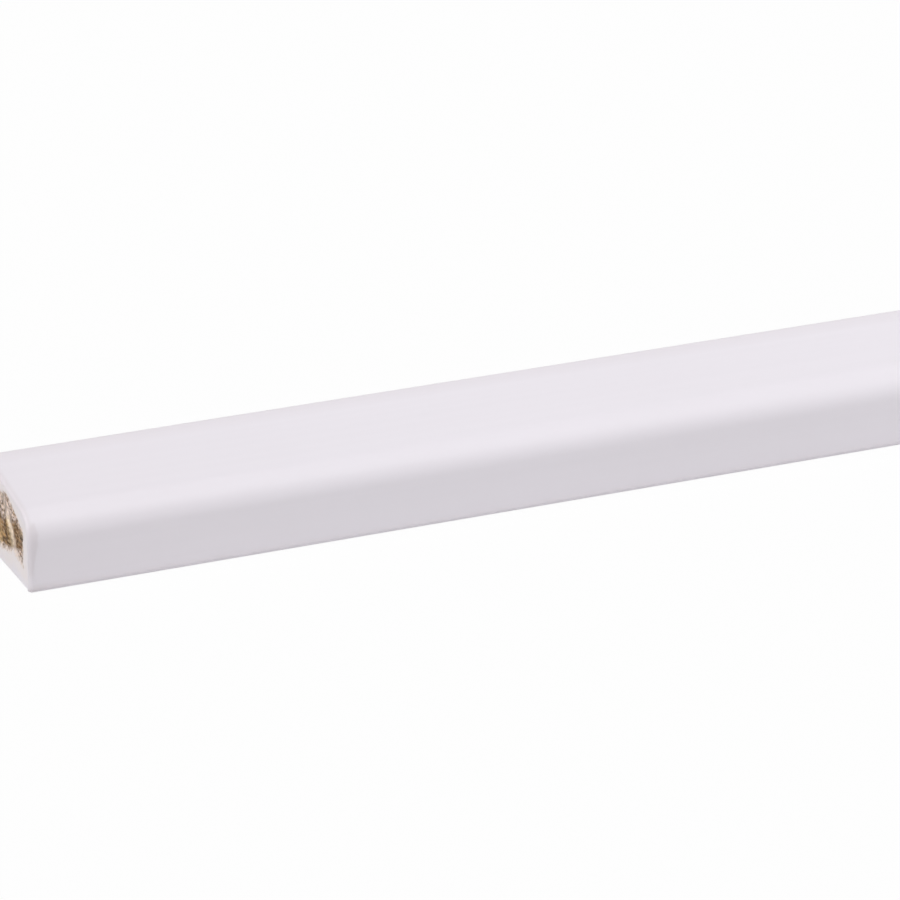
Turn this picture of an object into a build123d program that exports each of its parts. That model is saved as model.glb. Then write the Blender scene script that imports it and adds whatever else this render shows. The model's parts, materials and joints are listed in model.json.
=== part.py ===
from build123d import *
import os

# A wooden glazing bead: one straight strip, moulded to one section along its whole length.
# X runs along the strip, Y from the exposed front face to the face that bears on the glass,
# and Z up from the seat. The origin is at the middle of the seat.

# Driving dimensions, in millimetres
length = 2400.0         # between the two sawn ends, a stock length
width = 20.0            # from the front face to the glass face
glass_height = 15.0     # from the seat to where the sloping top would meet the glass face
front_height = 11.8     # from the seat to where the sloping top would meet the front face
nose_radius = 4.5       # round between the front face and the sloping top
arris_radius = 0.8      # the three other long arrises, eased so that paint holds on them
end_arris_radius = 0.5  # arrises round the two sawn ends


def corner_at(outline, point):
    """The outline's vertex nearest to a point."""
    return outline.vertices().sort_by_distance(point)[0]


def bead_section():
    """The moulded section, with its width along the sketch's x and its height along y."""
    front_seat = (-width / 2, 0)
    glass_seat = (width / 2, 0)
    glass_top = (width / 2, glass_height)
    nose = (-width / 2, front_height)
    outline = make_face(Polyline(front_seat, glass_seat, glass_top, nose, close=True))
    outline = fillet(corner_at(outline, nose), nose_radius)
    eased = [corner_at(outline, point) for point in (front_seat, glass_seat, glass_top)]
    return fillet(eased, arris_radius)


def glazing_bead():
    """The section run out to the stock length, with the arrises of its sawn ends eased."""
    run_start = Plane.YZ.offset(-length / 2)
    strip = extrude(run_start * bead_section(), amount=length)
    sawn_ends = strip.faces().filter_by(Axis.X)
    return fillet(sawn_ends.edges(), end_arris_radius)


os.makedirs("parts", exist_ok=True)
export_step(glazing_bead(), "parts/glazing_bead.step")
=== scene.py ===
import json
import math

import bmesh
import bpy
from mathutils import Matrix, Vector, kdtree, noise

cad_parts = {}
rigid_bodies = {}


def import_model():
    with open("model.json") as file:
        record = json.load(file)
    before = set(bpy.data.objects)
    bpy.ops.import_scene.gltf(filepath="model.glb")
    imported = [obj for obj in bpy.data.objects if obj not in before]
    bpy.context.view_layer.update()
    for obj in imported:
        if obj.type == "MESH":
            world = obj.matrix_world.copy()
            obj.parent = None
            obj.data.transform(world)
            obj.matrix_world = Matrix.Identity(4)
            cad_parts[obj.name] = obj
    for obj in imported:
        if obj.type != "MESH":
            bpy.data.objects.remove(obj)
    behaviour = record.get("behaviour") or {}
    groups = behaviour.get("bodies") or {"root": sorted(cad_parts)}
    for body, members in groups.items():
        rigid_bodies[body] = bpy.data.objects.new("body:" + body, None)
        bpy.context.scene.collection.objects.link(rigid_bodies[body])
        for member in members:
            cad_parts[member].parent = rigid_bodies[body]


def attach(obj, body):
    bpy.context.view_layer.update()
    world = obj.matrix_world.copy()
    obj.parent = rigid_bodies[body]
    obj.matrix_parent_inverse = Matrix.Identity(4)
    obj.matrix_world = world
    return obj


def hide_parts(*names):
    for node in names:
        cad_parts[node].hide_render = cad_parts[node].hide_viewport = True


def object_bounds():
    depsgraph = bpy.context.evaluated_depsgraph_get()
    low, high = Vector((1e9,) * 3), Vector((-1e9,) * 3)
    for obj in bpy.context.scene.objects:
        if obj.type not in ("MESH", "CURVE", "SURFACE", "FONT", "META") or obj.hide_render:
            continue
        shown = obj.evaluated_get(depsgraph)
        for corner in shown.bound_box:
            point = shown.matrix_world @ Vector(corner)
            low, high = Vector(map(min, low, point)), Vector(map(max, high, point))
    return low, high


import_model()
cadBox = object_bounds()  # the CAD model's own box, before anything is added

mm = 0.001
hair = 0.01 * mm  # closer than this counts as the same place


def pick(kind, test):
    # selects in edit mode whatever passes the test
    mesh = bpy.context.edit_object.data
    bm = bmesh.from_edit_mesh(mesh)
    bpy.ops.mesh.select_mode(type=kind)
    bpy.ops.mesh.select_all(action="DESELECT")
    for item in {"VERT": bm.verts, "EDGE": bm.edges, "FACE": bm.faces}[kind]:
        if test(item):
            item.select_set(True)
    bm.select_flush_mode()
    bmesh.update_edit_mesh(mesh)


def between(ends, share):
    return ends[0] + share * (ends[1] - ends[0])


def smoothStep(low, high, value):
    share = min(max((value - low) / (high - low), 0.0), 1.0)
    return share * share * (3 - 2 * share)


def fadeOut(value, reach, most):
    # the most at 0, nothing from reach on
    return most * max(0.0, 1 - value / reach)


# the strip: one moulded section, run out to its stock length
strip = {
    "glassHeight": 15.0 * mm,   # seat to where the slope meets the glass face
    "frontHeight": 11.8 * mm,   # seat to where the slope meets the front face
    "noseRadius": 4.5 * mm,
    "arris": 0.8 * mm,          # the other long arrises
    "endArris": 0.5 * mm,
    "noseSteps": 20,            # facets round the nose, and round each arris
    "arrisSteps": 6,
    "endSteps": 3,
    "topCuts": 63,              # cuts along the straight stretches of the section
    "frontCuts": 32,
    "tip": 6.0 * mm,            # finely cut stretch at each end, then a middling one
    "tipCuts": 23,
    "approach": 54.0 * mm,
    "approachCuts": 11,
    "runCuts": 56,              # the rest, up to the middle
    "shortest": 2.0 * mm,       # shorter edges belong to the rounds and aren't cut
    "waves": (50 * mm, 0.05 * mm),  # size and height of faint waves in the paint
    "smoothUnder": math.radians(40),
}
stripWidth = cadBox[1].y - cadBox[0].y
halfWidth = stripWidth / 2
halfLength = (cadBox[1].x - cadBox[0].x) / 2
slope = math.atan2(strip["glassHeight"] - strip["frontHeight"], stripWidth)


def roundCorner(radius, cornerAngle, steps):
    reach = radius / math.tan(cornerAngle / 2)  # from the corner to where the round begins
    bpy.ops.mesh.bevel(affect="VERTICES", offset=reach, segments=steps, profile=0.5)


def cutStretch(count, test):
    # cuts the straight edges of the section whose ends both pass the test
    def passes(edge):
        return edge.calc_length() > strip["shortest"] and all(test(v.co.y, v.co.z) for v in edge.verts)
    pick("EDGE", passes)
    bpy.ops.mesh.subdivide(number_cuts=count)


def cutRun(start, end, count):
    # cuts the long edges from start to end, give or take a millimetre
    def along(edge):
        low, high = sorted(v.co.x for v in edge.verts)
        return high - low > strip["shortest"] and low > start - mm and high < end + mm
    pick("EDGE", along)
    bpy.ops.mesh.subdivide(number_cuts=count)


def drawSection():
    # top sloping down to the front, nose rounded, the other corners eased
    middle = strip["glassHeight"] / 2
    bpy.ops.transform.resize(value=(1, stripWidth, strip["glassHeight"]))
    bpy.ops.transform.translate(value=(0, 0, middle))
    pick("VERT", lambda v: v.co.y < 0 and v.co.z > middle)
    bpy.ops.transform.translate(value=(0, 0, strip["frontHeight"] - strip["glassHeight"]))
    roundCorner(strip["noseRadius"], math.pi / 2 + slope, strip["noseSteps"])
    pick("VERT", lambda v: v.co.y > 0 and v.co.z > middle)
    roundCorner(strip["arris"], math.pi / 2 - slope, strip["arrisSteps"])
    pick("VERT", lambda v: v.co.z < hair)
    roundCorner(strip["arris"], math.pi / 2, strip["arrisSteps"])

    # opposite sides get as many edges, counted to the middle of each round corner
    spare = (strip["noseSteps"] - strip["arrisSteps"]) // 2
    cutStretch(strip["topCuts"], lambda y, z: z > strip["frontHeight"])
    cutStretch(strip["topCuts"] + spare, lambda y, z: z < hair)
    cutStretch(strip["frontCuts"], lambda y, z: y < hair - halfWidth)
    cutStretch(strip["frontCuts"] + spare, lambda y, z: y > halfWidth - hair)


def runOut():
    # half of the strip, in three stretches that get finer towards its end
    tipStart = halfLength - strip["tip"]
    approachStart = tipStart - strip["approach"]
    stretches = [
        (0, approachStart, strip["runCuts"]),
        (approachStart, tipStart, strip["approachCuts"]),
        (tipStart, halfLength, strip["tipCuts"]),
    ]
    bpy.ops.mesh.select_all(action="SELECT")
    for start, end, count in stretches:
        bpy.ops.mesh.extrude_region_move(TRANSFORM_OT_translate={"value": (end - start, 0, 0)})
    pick("FACE", lambda f: f.normal.x < -0.9)
    bpy.ops.mesh.delete(type="ONLY_FACE")  # open at the middle for the mirror
    pick("EDGE", lambda e: all(v.co.x > halfLength - hair for v in e.verts))
    bpy.ops.mesh.bevel(affect="EDGES", offset=strip["endArris"], segments=strip["endSteps"], profile=0.5)
    for start, end, count in stretches:
        cutRun(start, end, count)


def closeEnd():
    # the sawn end becomes a grid of small squares, finer inside its rim
    pick("FACE", lambda f: f.normal.x > 0.9 and len(f.verts) > 4)
    bpy.ops.mesh.delete(type="ONLY_FACE")
    pick("EDGE", lambda e: e.is_boundary and all(v.co.x > hair for v in e.verts))
    columns = strip["topCuts"] + 1 + (strip["noseSteps"] + strip["arrisSteps"]) // 2
    bpy.ops.mesh.fill_grid(span=columns)
    pick("FACE", lambda f: all(v.co.x > halfLength - hair for v in f.verts))
    bpy.ops.mesh.select_less()
    bpy.ops.mesh.subdivide(number_cuts=1)
    pick("FACE", lambda f: len(f.verts) > 4)
    bpy.ops.mesh.poke()  # fans instead of slivers where the fine squares meet the others


def mouldStrip():
    bpy.ops.object.select_all(action="DESELECT")
    bpy.ops.mesh.primitive_plane_add(size=1, rotation=(math.pi / 2, 0, math.pi / 2))
    piece = bpy.context.object
    piece.name = piece.data.name = "primedStrip"
    bpy.ops.object.transform_apply(location=True, rotation=True, scale=True)
    bpy.ops.object.mode_set(mode="EDIT")
    drawSection()
    runOut()
    closeEnd()
    bpy.ops.object.mode_set(mode="OBJECT")
    mirror = piece.modifiers.new("other half", "MIRROR")
    mirror.merge_threshold = hair
    bpy.ops.object.modifier_apply(modifier=mirror.name)
    print("strip moulded:", len(piece.data.polygons), "faces")
    return piece


# where each face lies on the flat map that the paint and wood are baked to
flatMap = {
    "margin": 0.02,
    "wrapHeight": 0.56,     # the long faces, wrapped off as one band
    "tipShare": 0.1,        # of the band's length, for the tip at each end
    "tileWidth": 0.46,      # the two sawn ends, side by side above the band
    "tileBase": 0.62,
    "tileEdge": 0.4,        # share of the ends' arrises that goes with the tiles
}


def alongBand(x):
    tip = strip["tip"] / halfLength
    share = abs(x) / halfLength
    if share < 1 - tip:
        reach = share / (1 - tip) * (0.5 - flatMap["tipShare"])
    else:
        reach = 0.5 - flatMap["tipShare"] * (1 - share) / tip
    return 0.5 + math.copysign(reach, x) * (1 - 2 * flatMap["margin"])


def turnAt(place):
    # angle round the strip, 0 straight up
    return math.atan2(place.y, place.z - strip["frontHeight"] / 2)


def spotOnBand(place, faceTurn):
    turn = turnAt(place)
    if turn - faceTurn > math.pi:  # the band is slit along the middle of the seat
        turn -= 2 * math.pi
    if faceTurn - turn > math.pi:
        turn += 2 * math.pi
    share = 0.5 + turn / (2 * math.pi)
    return alongBand(place.x), flatMap["margin"] + share * flatMap["wrapHeight"]


def spotOnTile(place):
    start = flatMap["margin"] if place.x < 0 else 0.5 + flatMap["margin"]
    scale = flatMap["tileWidth"] / stripWidth
    return start + (place.y + halfWidth) * scale, flatMap["tileBase"] + place.z * scale


def layFlat(piece):
    mesh = piece.data
    layer = mesh.uv_layers.new(name="OFBake")
    for face in mesh.polygons:
        onEnd = halfLength - abs(face.center.x) < strip["endArris"] * flatMap["tileEdge"]
        faceTurn = turnAt(face.center)
        for loop in face.loop_indices:
            place = mesh.vertices[mesh.loops[loop].vertex_index].co
            layer.data[loop].uv = spotOnTile(place) if onEnd else spotOnBand(place, faceTurn)
    print("laid flat")


# the sawn ends: a ragged rim of paint round bare, rough wood
sawnEnd = {
    "rimFront": 2.5 * mm,       # how far the paint reaches in from the front and from the glass face
    "rimGlass": 2.2 * mm,
    # millimetres from the front, and how far the paint reaches in there from the top and from the seat
    "rimTop": [(0, 3.4), (4, 2.5), (6, 1.9), (8, 1.45), (9.5, 1.0), (12, 2.1), (20, 1.4)],
    "rimSeat": [(0, 3.5), (3.5, 3.5), (5.5, 4.1), (7, 4.2), (8, 3.4), (10, 3.0), (12, 2.8), (20, 1.8)],
    # the same for a film of paint on the wood inside the rim, and the shares of its reach it fades between
    "filmTop": [(0, 0.9), (4, 1.2), (6, 2.0), (8, 3.3), (12, 4.6), (20, 3.0)],
    "filmTopFade": (0.8, 1.1),
    "filmSeat": [(0, 2.2), (4, 2.0), (6, 1.0), (20, 0.7)],
    "filmSeatFade": (0.7, 1.1),
    "filmRound": (0.2 * mm, 1.3 * mm),  # a fainter film all round fades between these
    "filmRoundMost": 0.6,
    "ragged": [(2.6 * mm, 0.4 * mm), (0.9 * mm, 0.35 * mm), (0.35 * mm, 0.2 * mm)],  # size, reach
    "depthRange": 6.0 * mm,     # span of the mark that the material reads
    "recess": 0.2 * mm,         # the wood lies this far behind the paint, and drops to there between these
    "recessEdge": (-0.1 * mm, 0.3 * mm),
    "torn": (1.1 * mm, 0.26 * mm),      # grain size and height of the coarse and the fine roughness
    "fibres": (0.3 * mm, 0.16 * mm),
    "softEdge": 1.2 * mm,       # how far the low edge of the ends is worn round, all but its front corner
    "softTurns": 12,
}


def reachAt(points, fromFront):
    # straight from point to point
    for (start, low), (end, high) in zip(points, points[1:]):
        if fromFront <= end * mm:
            break
    share = min(max((fromFront / mm - start) / (end - start), 0.0), 1.0)
    return between((low, high), share) * mm


def depthOfWood(place):
    # how far inside the ragged edge of the paint a place on an end lies, negative on the paint,
    # and how much of a thin film of paint is left there
    fromFront = place.y + halfWidth
    top = strip["frontHeight"] + fromFront * math.tan(slope)
    underTop = top - reachAt(sawnEnd["rimTop"], fromFront) - place.z
    aboveSeat = place.z - reachAt(sawnEnd["rimSeat"], fromFront)
    offFront = fromFront - sawnEnd["rimFront"]
    offGlass = stripWidth - fromFront - sawnEnd["rimGlass"]
    inside = min(underTop, aboveSeat, offFront, offGlass)
    for size, reach in sawnEnd["ragged"]:
        inside += reach * noise.noise(place / size)
    topShare = underTop / reachAt(sawnEnd["filmTop"], fromFront)
    seatShare = aboveSeat / reachAt(sawnEnd["filmSeat"], fromFront)
    topFilm = 1 - smoothStep(*sawnEnd["filmTopFade"], topShare)
    seatFilm = 1 - smoothStep(*sawnEnd["filmSeatFade"], seatShare)
    roundFilm = 1 - smoothStep(*sawnEnd["filmRound"], inside)
    return inside, max(topFilm, seatFilm, sawnEnd["filmRoundMost"] * roundFilm)


# paint gathered in a lip along the saw cut, mostly on the front and the nose
lip = {
    "reach": (1.1 * mm, 1.9 * mm),      # along the strip, low on the front and at the nose
    "widens": (0.4, 0.65),              # between these shares of the front's height
    "ragged": (1.5 * mm, 0.4 * mm),     # size and reach of its ragged edge
    "raggedStretch": 5,                 # how much that is drawn out along the strip
    "top": (0.75 * mm, 1.3 * mm),       # how far back over the nose it runs out
    "elsewhere": 0.2,                   # share of it on the other faces
    "height": 0.2 * mm,
    "lumps": (1.4 * mm, 0.1 * mm),      # their size and height
    "shadeShare": 0.62,                       # how much painted shade darkens it
    "shadeFoot": (1.8 * mm, 3.6 * mm),   # where that sets in above the seat, from the cut and from its edge
    "shadeCut": (0.0, 0.3 * mm),
    "shadeEdge": (0.0, 0.3),
}


def lipAt(place, fromEnd):
    # how thickly the paint has gathered at a place, and how much that place belongs to the front
    size, reach = lip["ragged"]
    wander = reach * noise.noise(Vector((place.x / lip["raggedStretch"], place.y, place.z)) / size)
    onFront = 1 - smoothStep(*lip["top"], place.y + halfWidth + wander / 2)
    lipEnd = between(lip["reach"], smoothStep(*lip["widens"], place.z / strip["frontHeight"])) + wander
    return max(0.0, 1 - fromEnd / lipEnd), onFront


# painted shade on the paint: round the saw cuts, along two of the long arrises, at the glass and at the
# foot of the front, and a darkening towards the strip's ends
paintShade = {
    "cut": (0.5, 0.76),                 # how much painted shade round the saw cuts, low down and at the top; it hides the highlight on their arrises
    "cutGrows": (0.55, 0.85),           # between these shares of the front's height
    "cutAlong": (0.2 * mm, 1.5 * mm),   # where it fades out along the strip and on the end
    "cutAcross": (0.0, 0.4 * mm),
    "cutFoot": 0.5,                     # share of it that is left at the foot
    "towardsEnds": (50 * mm, 0.17),           # how far from the strip's ends the paint is darker, and how much
    "glass": (4.2 * mm, 0.36),          # painted shade along the arris at the glass and at the foot of the front: its reach and how much
    "foot": (1.7 * mm, 0.24),
    "footStart": (0.2 * mm, 0.7 * mm),  # how far up from the foot it sets in
    "corner": (8 * mm, 3.5),            # how much more painted shade the foot gets close to the ends
}


def paintedShadeAt(place, fromEnd):
    # how much painted shade darkens the paint along two of its arrises, and how much darker the paint is
    # towards the strip's ends
    fromGlass = math.hypot(halfWidth - place.y, strip["glassHeight"] - place.z)
    fromFoot = math.hypot(halfWidth + place.y, place.z)
    footShade = fadeOut(fromFoot, *paintShade["foot"]) * smoothStep(*paintShade["footStart"], fromFoot)
    footShade *= 1 + fadeOut(fromEnd, *paintShade["corner"])
    return fadeOut(fromEnd, *paintShade["towardsEnds"]) + max(fadeOut(fromGlass, *paintShade["glass"]), footShade)


def findArrises(mesh):
    # the first ring of vertices behind the ends, to tell how far from it a place on an end lies
    ring = [v.co for v in mesh.vertices if hair < halfLength - abs(v.co.x) < strip["endArris"] * 0.3]
    arrises = kdtree.KDTree(len(ring))
    for index, place in enumerate(ring):
        arrises.insert(place, index)
    arrises.balance()
    return arrises


def markPaint(piece):
    # vertex groups for the Displace modifiers, and marks that the material reads
    mesh = piece.data
    bareWood = piece.vertex_groups.new(name="bareWood")
    paintLip = piece.vertex_groups.new(name="paintLip")
    paintFilm = piece.vertex_groups.new(name="paintFilm")
    depths = [0.0] * len(mesh.vertices)
    films = [0.0] * len(mesh.vertices)
    shades = [0.0] * len(mesh.vertices)
    arrises = findArrises(mesh)
    for v in mesh.vertices:
        fromEnd = halfLength - abs(v.co.x)
        # painted shade round the saw cut, darkening the end arrises so they show no highlight
        cutShade = between(paintShade["cut"], smoothStep(*paintShade["cutGrows"], v.co.z / strip["frontHeight"]))
        if fromEnd < hair:  # on the sawn end itself
            depth, films[v.index] = depthOfWood(v.co)
            depths[v.index] = 0.5 + depth / sawnEnd["depthRange"]
            shades[v.index] = cutShade * (1 - smoothStep(*paintShade["cutAcross"], arrises.find(v.co)[2]))
            bareWood.add([v.index], smoothStep(*sawnEnd["recessEdge"], depth), "REPLACE")
            continue
        offSeat = smoothStep(0.0, strip["arris"], v.co.z)  # the seat stays flat
        gathered, onFront = lipAt(v.co, fromEnd)
        side = between((lip["elsewhere"], 1), onFront)
        paintLip.add([v.index], gathered * side * offSeat, "REPLACE")
        paintFilm.add([v.index], offSeat, "REPLACE")
        aboveFoot = smoothStep(*lip["shadeFoot"], v.co.z)
        cutShade *= (1 - smoothStep(*paintShade["cutAlong"], fromEnd)) * between((paintShade["cutFoot"], 1), aboveFoot)
        # painted shade on the lip band, on top of the shade of its ridge
        lipShade = lip["shadeShare"] * onFront * aboveFoot
        lipShade *= smoothStep(*lip["shadeEdge"], gathered) * smoothStep(*lip["shadeCut"], fromEnd)
        shades[v.index] = max(cutShade, lipShade, paintedShadeAt(v.co, fromEnd))
    for name, values in (("woodDepth", depths), ("thinFilm", films), ("paintedShade", shades)):
        mesh.attributes.new(name, "FLOAT", "POINT").data.foreach_set("value", values)
    print("paint and wood marked")


def softenFeet():
    # all along the low edge of each end but for its front corner
    soft = sawnEnd["softEdge"]
    bpy.ops.object.mode_set(mode="EDIT")
    pick("VERT", lambda v: max(halfLength - abs(v.co.x), v.co.z) < soft < v.co.y + halfWidth)
    bpy.ops.mesh.vertices_smooth(factor=0.5, repeat=sawnEnd["softTurns"])
    bpy.ops.object.mode_set(mode="OBJECT")
    print("feet of the ends softened")


def push(piece, group, height, size=None, direction="NORMAL"):
    # a Displace modifier held to one vertex group and applied at once, cloudy if it has a size
    modifier = piece.modifiers.new(group, "DISPLACE")
    modifier.vertex_group = group
    modifier.strength = height
    modifier.mid_level = 0.0
    modifier.direction = direction
    if size:
        modifier.mid_level = 0.5
        modifier.texture = bpy.data.textures.new(group, "CLOUDS")
        modifier.texture.noise_scale = size
        modifier.texture.noise_depth = 2
        modifier.texture_coords = "LOCAL"
    bpy.ops.object.modifier_apply(modifier=modifier.name)


def roughenEnds(piece):
    push(piece, "bareWood", -sawnEnd["recess"])
    for size, height in (sawnEnd["torn"], sawnEnd["fibres"]):
        push(piece, "bareWood", height, size, "X")
    push(piece, "paintLip", lip["height"])
    size, height = lip["lumps"]
    push(piece, "paintLip", height, size)
    size, height = strip["waves"]
    push(piece, "paintFilm", height, size)
    bpy.ops.object.mode_set(mode="EDIT")
    bpy.ops.mesh.select_all(action="SELECT")
    bpy.ops.mesh.remove_doubles(threshold=hair / 10)
    bpy.ops.mesh.normals_make_consistent(inside=False)
    bpy.ops.object.mode_set(mode="OBJECT")
    bpy.ops.object.shade_smooth_by_angle(angle=strip["smoothUnder"])
    print("ends roughened")


def addNode(tree, kind, inputs, **options):
    # a node with its options set, and each input given a value or wired to another node
    made = tree.nodes.new(kind)
    for name, value in options.items():
        setattr(made, name, value)
    for name, value in inputs.items():
        if isinstance(value, bpy.types.NodeSocket):
            tree.links.new(value, made.inputs[name])
        else:
            made.inputs[name].default_value = value
    return made


def addMath(tree, operation, *values):
    return addNode(tree, "ShaderNodeMath", dict(enumerate(values)), operation=operation).outputs[0]


def addVectorMath(tree, operation, *values):
    return addNode(tree, "ShaderNodeVectorMath", dict(enumerate(values)), operation=operation).outputs


def addRange(tree, value, span, result=(0.0, 1.0)):
    made = addNode(tree, "ShaderNodeMapRange", {
        "Value": value, "From Min": span[0], "From Max": span[1], "To Min": result[0], "To Max": result[1]})
    return made.outputs[0]


def addRamp(tree, factor, stops):
    made = addNode(tree, "ShaderNodeValToRGB", {"Fac": factor})
    elements = made.color_ramp.elements
    while len(elements) < len(stops):
        elements.new(0.5)
    for element, (position, colour) in zip(elements, stops):
        element.position = position
        element.color = (*colour, 1)
    return made.outputs["Color"]


def addMix(tree, factor, low, high, blend="MIX"):
    # the high side is a colour or another node
    if not isinstance(high, bpy.types.NodeSocket):
        high = (*high, 1)
    inputs = {0: factor, 6: low, 7: high}
    return addNode(tree, "ShaderNodeMix", inputs, data_type="RGBA", blend_type=blend).outputs[2]


def addNoise(tree, place, pattern, stretch=(1, 1, 1), shift=0.0):
    size, fineness = pattern
    scaled = addNode(tree, "ShaderNodeMapping", {
        "Vector": place, "Scale": [s / size for s in stretch], "Location": (shift, shift, shift)})
    inputs = {"Vector": scaled.outputs[0], "Scale": 1.0, "Detail": fineness}
    return addNode(tree, "ShaderNodeTexNoise", inputs).outputs["Fac"]


def readMark(tree, name):
    return addNode(tree, "ShaderNodeAttribute", {}, attribute_name=name).outputs["Fac"]


# white primer over brown wood, told apart by how deep into the bare patch a place lies
# a pattern has a size and a fineness, and its range is where it sets in and where it is at its most
finish = {
    "paintDull": (0.834, 0.796, 0.848),
    "paintBright": (0.864, 0.825, 0.879),
    "cloud": (110 * mm, 4.0),   # patches in the paint
    "cloudRange": (0.45, 0.9),
    "streak": (1.4 * mm, 3.0),  # lengthwise streaks in it, how many times longer than wide, how strong
    "streakStretch": 60,
    "streakShare": 0.35,
    "satin": (0.4, 0.5),        # roughness of the paint
    "satinRange": (0.3, 0.7),
    "peel": (0.35 * mm, 2.0),   # its fine bumps, their strength and height
    "peelStrength": 0.06,
    "peelHeight": 0.05 * mm,
    "endTint": (1.03, 1.0, 0.945),      # the thin coat on the ends
    "endRange": (0.02, 0.3),
    "shadeTint": (0.86, 0.83, 0.815),    # painted shade on the coat
    "stain": (0.82, 0.71, 0.65),        # thin paint with the wood showing through
    "stainRange": (0.53, 0.67),
    "bareRange": (0.58, 0.74),          # no more paint
    "dab": (0.5 * mm, 3.0),     # dabs along the paint's edge, and their reach
    "dabShare": 0.22,
    "woodRoughness": 0.9,
    "pith": (0, 19.0 * mm, -5.1 * mm),  # the middle of the tree, outside the strip
    "warp": (1.25 * mm, 3.0),   # unevenness of the rings, and its reach
    "warpReach": 0.9 * mm,
    "ringRange": (14 * mm, 34 * mm),    # from the pith
    "rings": [
        (0.0, (0.36, 0.21, 0.095)),
        (0.16, (0.5, 0.34, 0.17)),
        (0.29, (0.34, 0.2, 0.085)),
        (0.345, (0.15, 0.075, 0.025)),
        (0.41, (0.26, 0.16, 0.06)),
        (0.45, (0.62, 0.49, 0.34)),
        (0.485, (0.92, 0.76, 0.59)),
        (0.52, (0.88, 0.7, 0.57)),
        (0.56, (0.22, 0.125, 0.055)),
        (0.63, (0.21, 0.115, 0.05)),
        (0.68, (0.25, 0.15, 0.085)),
        (0.74, (0.27, 0.2, 0.135)),
    ],
    "grainStretch": (1, 0.45, 1),       # fibres and pores are drawn out across the end by the saw
    "grainShift": 66.6,         # picks another stretch of all these patterns
    "fibre": (0.4 * mm, 3.0),   # torn fibres, their colour and how strong they are
    "fibreColour": (0.46, 0.34, 0.22),
    "fibreRange": (0.5, 0.6),
    "fibreMost": 0.7,
    "pore": (0.5 * mm, 5.0),    # dark pores between them, and how they shade the wood
    "pores": [(0.35, (0.3, 0.25, 0.2)), (0.46, (0.88, 0.88, 0.87)), (0.66, (1.5, 1.5, 1.48))],
    "porous": [(0.42, 1.0), (0.47, 0.35), (0.53, 0.35), (0.57, 1.0)],   # how much they show, by ring
    "blotch": (1.6 * mm, 2.0),  # the same for larger blotches
    "blotches": [(0.36, (0.66, 0.64, 0.62)), (0.64, (1.34, 1.34, 1.34))],
    "film": (0.645, 0.532, 0.492),      # a rubbed film of paint on the wood
    "smear": (0.6 * mm, 3.0),   # dabs in it
    "smearRange": (0.34, 0.58),
}


def primerCoat(tree, place, cloud, depth):
    # faintly cloudy, with streaks along the strip, thinner on the ends and darkened by painted shade here
    # and there
    streak = addNoise(tree, place, finish["streak"], (1 / finish["streakStretch"], 1, 1))
    uneven = addMath(tree, "MULTIPLY_ADD", streak, finish["streakShare"], cloud)
    dull, bright = finish["cloudRange"]
    paint = addRamp(tree, uneven, [(dull, finish["paintDull"]), (bright, finish["paintBright"])])
    onEnd = addRange(tree, depth, finish["endRange"])
    paint = addMix(tree, onEnd, paint, finish["endTint"], "MULTIPLY")
    # painted shade, where the mark set in markPaint says
    return addMix(tree, readMark(tree, "paintedShade"), paint, finish["shadeTint"], "MULTIPLY")


def tornWood(tree, place):
    stretch, shift = finish["grainStretch"], finish["grainShift"]

    # growth rings round the pith, a little out of true
    size, fineness = finish["warp"]
    warp = addNode(tree, "ShaderNodeTexNoise", {"Vector": place, "Scale": 1 / size, "Detail": fineness})
    reach = (0, finish["warpReach"], finish["warpReach"])
    warped = addVectorMath(tree, "MULTIPLY_ADD", warp.outputs["Color"], reach, place)[0]
    fromPith = addVectorMath(tree, "SUBTRACT", warped, finish["pith"])[0]
    across = addVectorMath(tree, "MULTIPLY", fromPith, (0, 1, 1))[0]
    radius = addVectorMath(tree, "LENGTH", across)["Value"]
    ringShare = addRange(tree, radius, finish["ringRange"])
    rings = addRamp(tree, ringShare, finish["rings"])

    fibres = addNoise(tree, place, finish["fibre"], stretch, shift)
    fibrous = addRange(tree, fibres, finish["fibreRange"], (0.0, finish["fibreMost"]))
    wood = addMix(tree, fibrous, rings, finish["fibreColour"], "LIGHTEN")

    # what is left of the paint on it, smeared by the saw
    smear = addNoise(tree, place, finish["smear"], shift=shift)
    smeared = addRange(tree, smear, finish["smearRange"])
    filmed = addMath(tree, "MULTIPLY", readMark(tree, "thinFilm"), smeared)
    wood = addMix(tree, filmed, wood, finish["film"])

    # pores, fainter in the pale ring, and blotches
    pores = addNoise(tree, place, finish["pore"], stretch, shift)
    porous = addRamp(tree, ringShare, [(share, (most, most, most)) for share, most in finish["porous"]])
    wood = addMix(tree, porous, wood, addRamp(tree, pores, finish["pores"]), "MULTIPLY")
    blotches = addNoise(tree, place, finish["blotch"], shift=shift)
    return addMix(tree, 1.0, wood, addRamp(tree, blotches, finish["blotches"]), "MULTIPLY")


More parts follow.
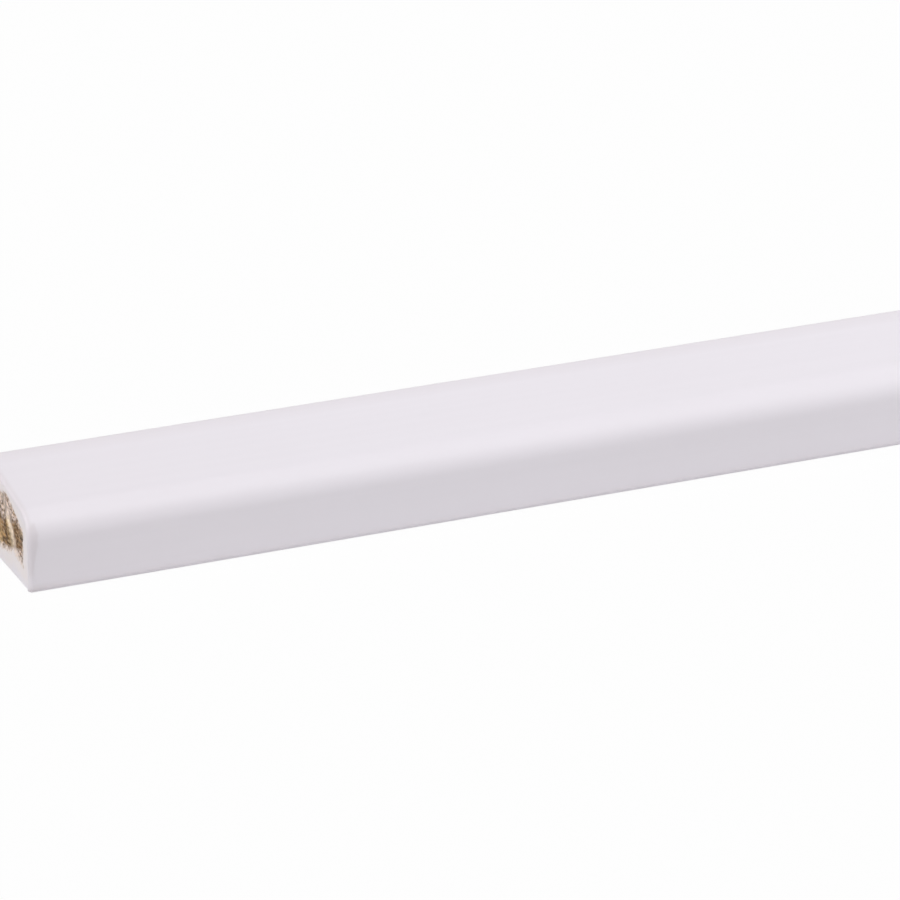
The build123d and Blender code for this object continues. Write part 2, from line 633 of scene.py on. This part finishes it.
def paintAndWood():
    material = bpy.data.materials.new("primerOnWood")
    material.use_nodes = True
    tree = material.node_tree
    place = addNode(tree, "ShaderNodeTexCoord", {}).outputs["Object"]
    cloud = addNoise(tree, place, finish["cloud"])
    depth = readMark(tree, "woodDepth")
    paint = primerCoat(tree, place, cloud, depth)
    wood = tornWood(tree, place)

    # where the one gives way to the other
    dabs = addNoise(tree, place, finish["dab"])
    broken = addMath(tree, "MULTIPLY_ADD", dabs, finish["dabShare"], depth)
    stained = addRange(tree, broken, finish["stainRange"])
    bare = addRange(tree, broken, finish["bareRange"])
    thinPaint = addMix(tree, stained, paint, finish["stain"])
    colour = addMix(tree, bare, thinPaint, wood)

    satin = addRange(tree, cloud, finish["satinRange"], finish["satin"])
    rough = addRange(tree, bare, (0.0, 1.0), (satin, finish["woodRoughness"]))
    peel = addNoise(tree, place, finish["peel"])
    bump = addNode(tree, "ShaderNodeBump", {
        "Height": peel, "Strength": finish["peelStrength"], "Distance": finish["peelHeight"]})
    shader = tree.nodes["Principled BSDF"]
    tree.links.new(colour, shader.inputs["Base Color"])
    tree.links.new(rough, shader.inputs["Roughness"])
    tree.links.new(bump.outputs[0], shader.inputs["Normal"])
    print("paint and wood mixed")
    return material


piece = mouldStrip()
layFlat(piece)
markPaint(piece)
softenFeet()
roughenEnds(piece)
piece.data.materials.append(paintAndWood())

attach(piece, "root")
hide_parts("glazing_bead")


# floor, light and camera
studio = {
    "floorSize": 200.0,
    "floorColour": (0.78, 0.78, 0.78, 1),
    "floorWhite": 0.96,         # share of plain white that the camera sees in the floor
    "sky": 0.28,
    "lamps": {                  # where each one shines from, its strength and its width in degrees
        "softKey": ((-0.425, -0.244, 0.872), 2.07, 70),
        "noseSheen": ((0.37, -0.51, 0.77), 0.3, 30),
    },
}
photo = {
    "frame": 900,               # pixels
    "focal": 4554.0,            # pixels
    "elevation": math.radians(21.93),
    "turn": math.radians(23.74),    # how far the strip runs away from the picture
    "corner": (29.85, 594.76),  # pixel of the low front corner of the near end
    "cornerDepth": 665.2 * mm,
    "nearest": 10 * mm,         # what the camera sees begins and ends here
    "farthest": 500.0,
}


def seenDirectly(tree):
    # 1 for rays that show the background: straight from the camera, mirrored or through glass
    path = addNode(tree, "ShaderNodeLightPath", {}).outputs
    direct = addMath(tree, "MAXIMUM", path["Is Camera Ray"], path["Is Glossy Ray"])
    return addMath(tree, "MAXIMUM", direct, path["Is Transmission Ray"])


def layFloor():
    bpy.ops.object.select_all(action="DESELECT")
    bpy.ops.mesh.primitive_plane_add(size=studio["floorSize"])
    floor = bpy.context.object
    floor.name = "paleFloor"
    pale = bpy.data.materials.new("paleFloor")
    pale.use_nodes = True
    tree = pale.node_tree
    tree.nodes.clear()
    shaded = addNode(tree, "ShaderNodeBsdfDiffuse", {"Color": studio["floorColour"]})
    white = addNode(tree, "ShaderNodeEmission", {})
    share = addMath(tree, "MULTIPLY", seenDirectly(tree), studio["floorWhite"])
    mix = addNode(tree, "ShaderNodeMixShader", {0: share, 1: shaded.outputs[0], 2: white.outputs[0]})
    addNode(tree, "ShaderNodeOutputMaterial", {"Surface": mix.outputs[0]})
    floor.data.materials.append(pale)
    print("floor laid")


def lightStudio():
    world = bpy.data.worlds.new("softSky")
    bpy.context.scene.world = world
    world.use_nodes = True
    tree = world.node_tree
    tree.nodes.clear()
    sky = addNode(tree, "ShaderNodeBackground", {"Color": (1, 1, 1, 1), "Strength": studio["sky"]})
    white = addNode(tree, "ShaderNodeBackground", {"Color": (1, 1, 1, 1)})
    share = seenDirectly(tree)
    mix = addNode(tree, "ShaderNodeMixShader", {0: share, 1: sky.outputs[0], 2: white.outputs[0]})
    addNode(tree, "ShaderNodeOutputWorld", {"Surface": mix.outputs[0]})
    for name, (direction, strength, width) in studio["lamps"].items():
        bpy.ops.object.light_add(type="SUN")
        lamp = bpy.context.object
        lamp.name = name
        lamp.data.energy = strength
        lamp.data.angle = math.radians(width)
        lamp.rotation_euler = Vector(direction).to_track_quat("Z", "Y").to_euler()
    print("lit by", len(studio["lamps"]), "lamps")


def placeCamera():
    turn, rise = photo["turn"], photo["elevation"]
    right = Vector((math.cos(turn), -math.sin(turn), 0))
    up = Vector((math.sin(turn) * math.sin(rise), math.cos(turn) * math.sin(rise), math.cos(rise)))
    back = right.cross(up)
    across = (photo["corner"][0] - photo["frame"] / 2) / photo["focal"]
    down = (photo["corner"][1] - photo["frame"] / 2) / photo["focal"]
    corner = Vector((-halfLength, -halfWidth, 0))
    place = corner - photo["cornerDepth"] * (across * right - down * up - back)
    bpy.ops.object.camera_add()
    camera = bpy.context.object
    camera.name = "photoCamera"
    camera.data.lens = photo["focal"] / photo["frame"] * camera.data.sensor_width
    camera.data.clip_start = photo["nearest"]
    camera.data.clip_end = photo["farthest"]
    camera.matrix_world = Matrix.Translation(place) @ Matrix((right, up, back)).transposed().to_4x4()
    bpy.context.scene.camera = camera
    print("camera placed")


layFloor()
lightStudio()
placeCamera()
bpy.context.scene.view_settings.view_transform = "Standard"
